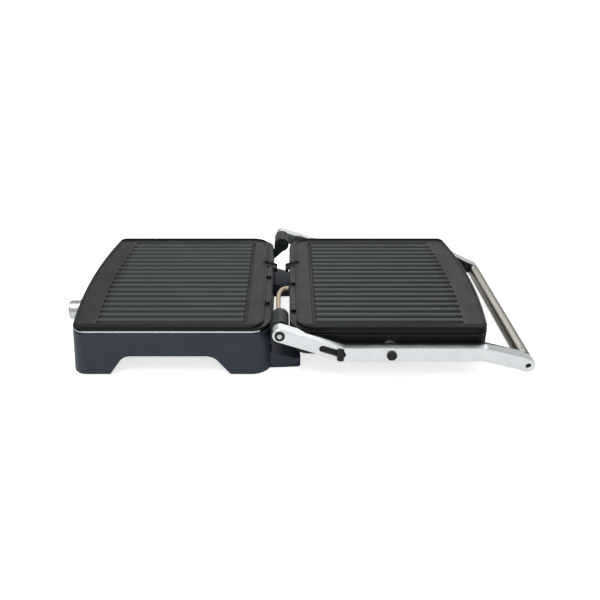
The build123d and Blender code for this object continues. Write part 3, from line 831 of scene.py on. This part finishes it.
@dataclass
class SubAssembly:
    """A group of pieces that are built and dressed together."""

    palette: Palette

    def place(
        self,
        mesh: bmesh.types.BMesh,
        name: str,
        surface: Surface,
        body: str,
        replaces: Iterable[str] = (),
        smooth_to: float = 38.0,
    ) -> bpy.types.Object:
        """Makes a finished piece of a mesh and puts it on its body.

        Args:
            mesh: The piece's mesh, which is freed.
            name: The piece's name.
            surface: Its finish.
            body: The CAD body that it rides on.
            replaces: The CAD nodes that it stands for.
            smooth_to: The largest angle in degrees that is shaded smooth.

        Returns:
            The piece.
        """
        for face in mesh.faces:
            face.smooth = True
        for edge in mesh.edges:
            edge.smooth = edge_turn(edge) < math.radians(smooth_to)
        data = bpy.data.meshes.new(name)
        mesh.to_mesh(data)
        mesh.free()
        piece = add_object(name, data)
        weighted = piece.modifiers.new("face_weighted_normals", "WEIGHTED_NORMAL")
        weighted.keep_sharp = True
        weighted.weight = 80
        data.materials.append(self.palette.get(surface))
        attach(piece, body)
        if replaces:
            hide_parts(*replaces)
        log.info("%s: %d faces on %s", name, len(data.polygons), body)
        return piece

    def refine(self, node: str, width: float, segments: int = 2) -> bpy.types.Object:
        """Stands a copy with rounded edges in for a CAD node.

        Args:
            node: The CAD node.
            width: The rounding's width, in metres.
            segments: The number of faces across the rounding.

        Returns:
            The piece.
        """
        mesh = cad_copy(node)
        round_edges(mesh, width, segments)
        name = f"{node}_shaped"
        return self.place(mesh, name, surface_of_node(node), body_of_node(node), (node,))


class Half(Enum):
    """The two halves of the press."""

    LOWER = "lower"
    UPPER = "upper"


@dataclass
class CookingHalf(SubAssembly):
    """One half's ribbed plate, its black frame, its trim line and its catches.

    Attributes:
        half: Which half it is.
        rim_round: The rounding of the plate's rim.
        ridge_round: The rounding of the ridges' top edges.
        foot_round: The rounding at the foot of a groove's walls.
        groove_pitch: The distance from groove to groove.
        groove_count: The number of grooves.
        groove_half_width: Half a groove's width at the top.
        draft: How far each wall of a groove leans in towards its floor.
        near: How far a point may lie from a groove's floor or wall and still be on it.
        level_near: How far an edge may lie from its level and still be at it.
        crease: The least angle in degrees of a groove's edge.
        rim_crease: The least angle in degrees of an edge of the rim.
    """

    half: Half = Half.LOWER
    rim_round: float = 0.7 * MM
    ridge_round: float = 1.5 * MM
    foot_round: float = 0.8 * MM
    groove_pitch: float = 13.95 * MM
    groove_count: int = 19
    groove_half_width: float = 3.7 * MM
    draft: float = 1.2 * MM
    near: float = 0.05 * MM
    level_near: float = 0.02 * MM
    crease: float = 25.0
    rim_crease: float = 50.0

    def build(self) -> None:
        """Builds the half's pieces."""
        self.plate()
        self.refine(f"{self.half.value}_bezel", 0.8 * MM)
        # The trim ring is partly a real rim and partly painted light: bright metal on the lower
        # half for the highlight along the housing's top edge, black on the upper half for the
        # shadow line under the plate.
        self.refine(f"{self.half.value}_trim_ring", 0.7 * MM, 3)
        self.refine(f"{self.half.value}_plate_catches", 0.6 * MM)

    def plate(self) -> bpy.types.Object:
        """Builds the cooking plate with drafted, rounded grooves."""
        node = f"{self.half.value}_plate"
        mesh = cad_copy(node)
        self.draft_grooves(mesh)
        bevel(mesh, self.level_edges(mesh, PLATE_LEVEL, True), self.ridge_round, 4)
        bevel(mesh, self.level_edges(mesh, GROOVE_FLOOR, False), self.foot_round, 2)
        round_edges(mesh, self.rim_round, 2, self.rim_crease)
        return self.place(
            mesh, f"{node}_shaped", surface_of_node(node), body_of_node(node), (node,), 42.0
        )

    def draft_grooves(self, mesh: bmesh.types.BMesh) -> None:
        """Narrows the grooves towards their floor, as a casting's draft does."""
        middle = (self.groove_count - 1) / 2
        for vert in mesh.verts:
            if abs(vert.co.z - GROOVE_FLOOR) > self.near:
                continue
            index = round(vert.co.x / self.groove_pitch + middle)
            from_centre = vert.co.x - (index - middle) * self.groove_pitch
            if abs(from_centre) <= self.groove_half_width + self.near:
                vert.co.x -= from_centre / self.groove_half_width * self.draft

    def level_edges(
        self, mesh: bmesh.types.BMesh, level: float, convex: bool
    ) -> list[bmesh.types.BMEdge]:
        """Gives the sharp edges that lie at a level.

        Args:
            mesh: The plate's mesh.
            level: The height of the edges.
            convex: Whether the edges stand out, or else lie in a hollow.

        Returns:
            The edges.
        """
        return [
            edge
            for edge in mesh.edges
            if edge_turn(edge) > math.radians(self.crease)
            and edge.is_convex == convex
            and all(abs(vert.co.z - level) < self.level_near for vert in edge.verts)
        ]


@dataclass
class BaseHousing(SubAssembly):
    """The base's shell, legs, feet, cover and screws."""

    def build(self) -> None:
        """Builds the housing's pieces."""
        self.refine("base_shell", 0.9 * MM, 3)
        for side in SIDES:
            self.refine(f"rear_leg_{side}", 1.2 * MM, 3)
        self.refine("rubber_feet", 0.4 * MM)
        self.refine("base_bottom_cover", 0.5 * MM)
        self.refine("base_cover_screws", 0.3 * MM)
        self.refine("cord_gland", 0.4 * MM)
        self.refine("base_lead_grommet", 0.5 * MM)


@dataclass
class LidHousing(SubAssembly):
    """The lid's shell, outer panel, bosses and lead port."""

    def build(self) -> None:
        """Builds the housing's pieces."""
        self.refine("lid_shell", 0.6 * MM)
        self.refine("lid_top_panel", 0.25 * MM)
        self.refine("lid_pivot_bosses", 0.6 * MM)
        self.refine("lid_lead_grommet", 0.3 * MM)


@dataclass
class HingeSet(SubAssembly):
    """The towers, washers, pins and pin heads of the main hinge.

    Attributes:
        ring_inset: How far in from the heads' faces the rings are set.
        ring_steps: The number of faces round a ring.
        cap_steps: The number of faces round a cap.
    """

    ring_inset: float = 0.5 * MM
    ring_steps: int = 48
    cap_steps: int = 40

    def build(self) -> None:
        """Builds the hinge's pieces."""
        for side in SIDES:
            self.refine(f"hinge_tower_{side}", 1.2 * MM, 3)
            self.refine(f"hinge_pin_{side}", 0.3 * MM)
        self.refine("hinge_washers", 0.3 * MM)
        self.pin_heads()
        self.tower_caps()

    def pin_heads(self) -> None:
        """Builds the pin heads, with a black ring round each."""
        low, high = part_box("hinge_pin_heads")
        self.refine("hinge_pin_heads", 0.25 * MM)
        centre = (low + high) / 2
        outline = (
            (-0.8 * MM, 3.0 * MM),
            (-0.8 * MM, 6.3 * MM),
            (0.6 * MM, 6.2 * MM),
            (1.0 * MM, 5.6 * MM),
            (0.9 * MM, 3.4 * MM),
            (0.4 * MM, 3.0 * MM),
            (-0.8 * MM, 3.0 * MM),
        )
        for side, sign in SIDES.items():
            face = high.x if sign > 0 else low.x
            start = (face - sign * self.ring_inset, centre.y, centre.z)
            ring = lathe(outline, start, (sign, 0, 0), self.ring_steps)
            self.place(ring, f"hinge_screw_ring_{side}", Surface.BLACK, "base")

    def tower_caps(self) -> None:
        """Closes the towers' inner ends with moulded caps."""
        outline = (
            (0.0, 0.0),
            (0.0, 4.6 * MM),
            (0.5 * MM, 4.4 * MM),
            (0.7 * MM, 4.0 * MM),
            (0.8 * MM, 0.0),
        )
        for side, sign in SIDES.items():
            low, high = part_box(f"hinge_tower_{side}")
            pin_low, pin_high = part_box(f"hinge_pin_{side}")
            middle = (pin_low + pin_high) / 2
            inner = low.x if sign > 0 else high.x
            cap = lathe(outline, (inner, middle.y, middle.z), (-sign, 0, 0), self.cap_steps)
            self.place(cap, f"hinge_tower_cap_{side}", Surface.BLACK, "base")


@dataclass
class ArmPair(SubAssembly):
    """The two side arms with their liners, pivot pins, slot and release slider."""

    rounding: float = 1.3 * MM

    def build(self) -> None:
        """Builds the arms' pieces."""
        for side in SIDES:
            self.refine(f"arm_{side}", self.rounding, 3)
            self.refine(f"arm_liner_{side}", 0.8 * MM)
            self.refine(f"tilt_pin_{side}", 0.5 * MM, 3)
        self.refine("slot_insert", 0.2 * MM)
        self.refine("release_slider", 0.7 * MM, 3)


@dataclass
class HandleBar(SubAssembly):
    """The cross bar with its plugs and screws.

    Attributes:
        socket_radius: The radius of a grub screw's hexagon socket, to its corners.
        socket_depth: How far a socket's painted-shade disc is sunk in.
        socket_stand: How far it stands out.
        socket_sides: The number of a socket's sides.
    """

    socket_radius: float = 1.5 * MM
    socket_depth: float = 0.2 * MM
    socket_stand: float = 0.05 * MM
    socket_sides: int = 6

    def build(self) -> None:
        """Builds the handle's pieces."""
        self.refine("handle_bar", 0.5 * MM)
        self.refine("handle_bar_plugs", 0.3 * MM)
        self.refine("handle_end_screws", 0.4 * MM)
        self.refine("handle_grub_screws", 0.2 * MM)
        self.socket_shade_discs()

    def socket_shade_discs(self) -> None:
        """Sets a dark hexagon on top of each grub screw, as painted shade in its socket."""
        low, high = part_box("handle_grub_screws")
        radius = (high.y - low.y) / 2
        outline = (
            (-self.socket_depth, 0.0),
            (-self.socket_depth, self.socket_radius),
            (self.socket_stand, self.socket_radius),
            (self.socket_stand, 0.0),
        )
        # Painted shade: a dark solid hexagon stands where the socket's hollow would be shaded.
        for side, sign in SIDES.items():
            x = (high.x if sign > 0 else low.x) - sign * radius
            top = (x, (low.y + high.y) / 2, high.z)
            socket = lathe(outline, top, (0, 0, 1), self.socket_sides)
            self.place(socket, f"grub_shade_disc_{side}", Surface.BLACK, "arms")


@dataclass
class Controls(SubAssembly):
    """The dial with its ring and marks, and the two lamps.

    Attributes:
        steps: The number of faces round the knob.
        pointer_size: The pointer's size along X, Y and Z.
        pointer_round: The rounding of its edges.
        pointer_sunk: How far its middle lies behind the knob's front.
        pointer_out: Its middle's distance from the knob's axis, as a share of the radius.
        mark_count: The number of dots.
        mark_sweep: The angle in degrees from the first dot to the last.
        mark_radius: The radius of the dots' circle.
        mark_size: A dot's radius.
    """

    steps: int = 96
    pointer_size: Point = (1.6 * MM, 0.8 * MM, 6.0 * MM)
    pointer_round: float = 0.25 * MM
    pointer_sunk: float = 0.5 * MM
    pointer_out: float = 0.42
    mark_count: int = 7
    mark_sweep: float = 270.0
    mark_radius: float = 15.5 * MM
    mark_size: float = 0.5 * MM

    def build(self) -> None:
        """Builds the controls."""
        self.refine("dial_ring", 0.6 * MM)
        self.refine("thermostat_shaft", 0.2 * MM)
        self.refine("power_lamp", 0.2 * MM)
        self.refine("ready_lamp", 0.2 * MM)
        self.knob()
        self.dial_marks()

    def knob(self) -> None:
        """Builds the turned knob with a stepped skirt, a dished face and a pointer."""
        low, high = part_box("control_knob")
        centre = ((low.x + high.x) / 2, high.y, (low.z + high.z) / 2)
        radius = (high.x - low.x) / 2
        depth = high.y - low.y
        back = [(0.0, 3.0 * MM), (0.0, radius - 0.6 * MM)]
        skirt = [(0.6 * MM, radius), (3.2 * MM, radius), (3.8 * MM, radius - 0.7 * MM)]
        grip = [(4.6 * MM, radius - 0.9 * MM), (depth - 3.0 * MM, radius - 0.9 * MM)]
        rim = [(depth - 1.2 * MM, radius - 1.3 * MM), (depth - 0.3 * MM, radius - 2.4 * MM)]
        rim += [(depth, radius - 3.6 * MM), (depth - 0.4 * MM, radius - 4.6 * MM)]
        dish = [(depth - 0.7 * MM, radius * 0.4), (depth - 0.7 * MM, 0.0)]
        mesh = lathe(back + skirt + grip + rim + dish, centre, (0, -1, 0), self.steps)
        self.place(mesh, "control_knob_turned", Surface.CHROME, "knob", ("control_knob",), 30.0)
        pointer = bmesh.new()
        bmesh.ops.create_cube(pointer, size=1.0)
        rise = radius * self.pointer_out
        spot = Vector((centre[0], low.y + self.pointer_sunk, centre[2] + rise))
        bmesh.ops.transform(
            pointer,
            matrix=Matrix.Translation(spot) @ Matrix.Diagonal((*self.pointer_size, 1.0)),
            verts=pointer.verts[:],
        )
        round_edges(pointer, self.pointer_round)
        self.place(pointer, "knob_pointer", Surface.BLACK, "knob")

    def dial_marks(self) -> None:
        """Sets a row of small raised dots round the dial ring's face."""
        low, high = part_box("dial_ring")
        marks = bmesh.new()
        for index in range(self.mark_count):
            share = index / (self.mark_count - 1) - 0.5
            turn = math.radians(90 + share * self.mark_sweep)
            centre = (
                (low.x + high.x) / 2 + self.mark_radius * math.cos(turn),
                low.y,
                (low.z + high.z) / 2 + self.mark_radius * math.sin(turn),
            )
            bmesh.ops.create_uvsphere(
                marks,
                u_segments=16,
                v_segments=8,
                radius=self.mark_size,
                matrix=Matrix.Translation(centre),
            )
        self.place(marks, "dial_marks", Surface.TRIM, "base")


@dataclass
class HingeLead(SubAssembly):
    """The sleeved lead that joins the two halves.

    Attributes:
        cad_radius: The radius of the CAD lead, which sets where the two ends lie.
        radius: The sleeve's radius.
        rise: How far the lead rises midway.
        held: How far from each end, along X, the lead keeps its place; not used.
        samples: The number of rings to each stretch of the route.
        facets: How finely each ring is divided.
    """

    cad_radius: float = 3.5 * MM
    radius: float = 3.2 * MM
    rise: float = 2.0 * MM
    held: float = 5.0 * MM
    samples: int = 14
    facets: int = 6

    def build(self) -> None:
        """Builds the lead along its route between the two ports."""
        low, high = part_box("hinge_lead")
        level = (low.z + high.z) / 2
        base_x = high.x - self.cad_radius
        lid_x = low.x + self.cad_radius
        span = high.y - low.y
        route = [
            (base_x, low.y, level),
            (base_x - 1 * MM, low.y + 0.18 * span, level),
            (base_x - 12 * MM, low.y + 0.23 * span, level + 0.5 * self.rise),
            (base_x - 30 * MM, low.y + 0.22 * span, level + self.rise),
            (lid_x + 23 * MM, low.y + 0.23 * span, level + self.rise),
            (lid_x + 6 * MM, low.y + 0.44 * span, level + 0.5 * self.rise),
            (lid_x + 0.5 * MM, low.y + 0.78 * span, level),
            (lid_x, high.y, level),
        ]
        tube = self.tube(route)
        piece = add_object("hinge_lead_sleeved", tube)
        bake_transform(piece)
        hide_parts("hinge_lead")
        log.info("hinge_lead_sleeved: %d faces on base and arms", len(tube.polygons))

    def tube(self, route: Sequence[Point]) -> bpy.types.Mesh:
        """Sweeps the sleeve along a route.

        Args:
            route: The points that steer its smooth centre line.

        Returns:
            The sleeve's mesh, with its ends closed.
        """
        curve = bpy.data.curves.new("hinge_lead_line", "CURVE")
        curve.dimensions = "3D"
        spline = curve.splines.new("NURBS")
        spline.points.add(len(route) - 1)
        for point, place in zip(spline.points, route):
            point.co = (*place, 1.0)
        spline.order_u = 3
        spline.use_endpoint_u = True
        spline.resolution_u = self.samples
        curve.bevel_depth = self.radius
        curve.bevel_resolution = self.facets
        curve.use_fill_caps = True
        holder = add_object("hinge_lead_line", curve)
        graph = bpy.context.evaluated_depsgraph_get()
        swept = bpy.data.meshes.new_from_object(holder.evaluated_get(graph))
        bpy.data.objects.remove(holder)
        for polygon in swept.polygons:
            polygon.use_smooth = True
        swept.materials.clear()
        swept.materials.append(self.palette.get(Surface.LEAD))
        return swept


# ---- studio ---------------------------------------------------------------------------------


@dataclass(frozen=True)
class Softbox:
    """A soft box that faces the press.

    Attributes:
        name: The light's name.
        place: Where it hangs.
        size: Its width and height.
        power: Its power in watts.
    """

    name: str
    place: Point
    size: tuple[float, float]
    power: float

    def hang(self) -> None:
        """Adds the light to the scene."""
        light = bpy.data.lights.new(self.name, "AREA")
        light.shape = "RECTANGLE"
        light.size, light.size_y = self.size
        light.energy = self.power
        holder = add_object(self.name, light)
        holder.location = self.place
        holder.rotation_euler = (-Vector(self.place)).to_track_quat("-Z", "Y").to_euler()


SOFTBOXES = (
    Softbox("key_softbox", (0.5, -0.5, 1.5), (1.4, 1.0), 18.0),
    Softbox("side_softbox", (1.8, 0.3, 0.9), (1.6, 0.8), 4.0),
    Softbox("rear_softbox", (-1.4, 0.4, 1.2), (1.6, 0.8), 5.5),
)


@dataclass
class Studio:
    """The pale floor, the soft lights and the camera.

    Attributes:
        camera_x: The camera's place along X.
        camera_out: How far it stands from the hinge's axis towards the handle.
        camera_rise: How far above the axis it stands.
        pitch: How far it looks down, in degrees.
        lens: Its focal length in millimetres.
        shift: Its lens's sideways shift.
        surround: The surround's strength as a light.
        floor_half_side: Half the floor's side.
        floor_white: The floor's reflectance.
        floor_glow: How much brighter the camera sees the floor.
    """

    camera_x: float = 0.8462
    camera_out: float = 10.0 * MM
    camera_rise: float = 0.4084
    pitch: float = 27.8
    lens: float = 39.77
    shift: float = 0.02
    surround: float = 0.5
    floor_half_side: float = 12.0
    floor_white: float = 0.85
    floor_glow: float = 0.7

    def build(self) -> None:
        """Sets up the camera, the world, the lights and the floor."""
        self.camera()
        self.world()
        self.floor()
        for softbox in SOFTBOXES:
            softbox.hang()

    def camera(self) -> None:
        """Puts the camera beside the press, looking across it."""
        data = bpy.data.cameras.new("camera")
        data.sensor_width = 36.0
        data.lens = self.lens
        data.shift_x = self.shift
        data.clip_start = 0.01
        data.clip_end = 50.0
        holder = add_object("camera", data)
        hinge = hinge_centre()
        holder.location = (self.camera_x, hinge.y + self.camera_out, hinge.z + self.camera_rise)
        holder.rotation_euler = (math.radians(90 - self.pitch), 0.0, math.radians(90))
        bpy.context.scene.camera = holder

    def world(self) -> None:
        """Gives an even surround, which the camera sees white."""
        world = bpy.data.worlds.new("studio")
        world.use_nodes = True
        surround = world.node_tree.nodes["Background"]
        surround.inputs["Color"].default_value = (1.0, 1.0, 1.0, 1.0)
        seen = Graph(world.node_tree)
        straight = seen.add("ShaderNodeLightPath").outputs["Is Camera Ray"]
        strength = seen.remap(straight, (0.0, 1.0), self.surround, 1.0)
        seen.link(strength, surround.inputs["Strength"])
        bpy.context.scene.world = world
        bpy.context.scene.view_settings.view_transform = "Standard"

    def floor(self) -> None:
        """Lays the plain pale floor, which the camera sees a little brighter than it is."""
        mesh = bmesh.new()
        bmesh.ops.create_grid(mesh, x_segments=1, y_segments=1, size=self.floor_half_side)
        data = bpy.data.meshes.new("floor")
        mesh.to_mesh(data)
        mesh.free()
        paint = bpy.data.materials.new("floor_white")
        paint.use_nodes = True
        shader = paint.node_tree.nodes["Principled BSDF"]
        seen = Graph(paint.node_tree)
        straight = seen.add("ShaderNodeLightPath").outputs["Is Camera Ray"]
        glow = seen.math("MULTIPLY", straight, self.floor_glow)
        seen.link(glow, shader.inputs["Emission Strength"])
        shader.inputs["Emission Color"].default_value = (1.0, 1.0, 1.0, 1.0)
        shader.inputs["Base Color"].default_value = (*[self.floor_white] * 3, 1.0)
        shader.inputs["Roughness"].default_value = 0.9
        shader.inputs["Specular IOR Level"].default_value = 0.1
        data.materials.append(paint)
        add_object("floor", data)


def main() -> None:
    """Builds the studio and every sub-assembly of the press, in order."""
    logging.basicConfig(level=logging.INFO, format="%(name)s %(message)s")
    Studio().build()
    palette = Palette()
    palette.dress_frame()
    for half in Half:
        CookingHalf(palette, half=half).build()
    BaseHousing(palette).build()
    LidHousing(palette).build()
    HingeSet(palette).build()
    ArmPair(palette).build()
    HandleBar(palette).build()
    Controls(palette).build()
    HingeLead(palette).build()


if __name__ == "__main__":
    main()
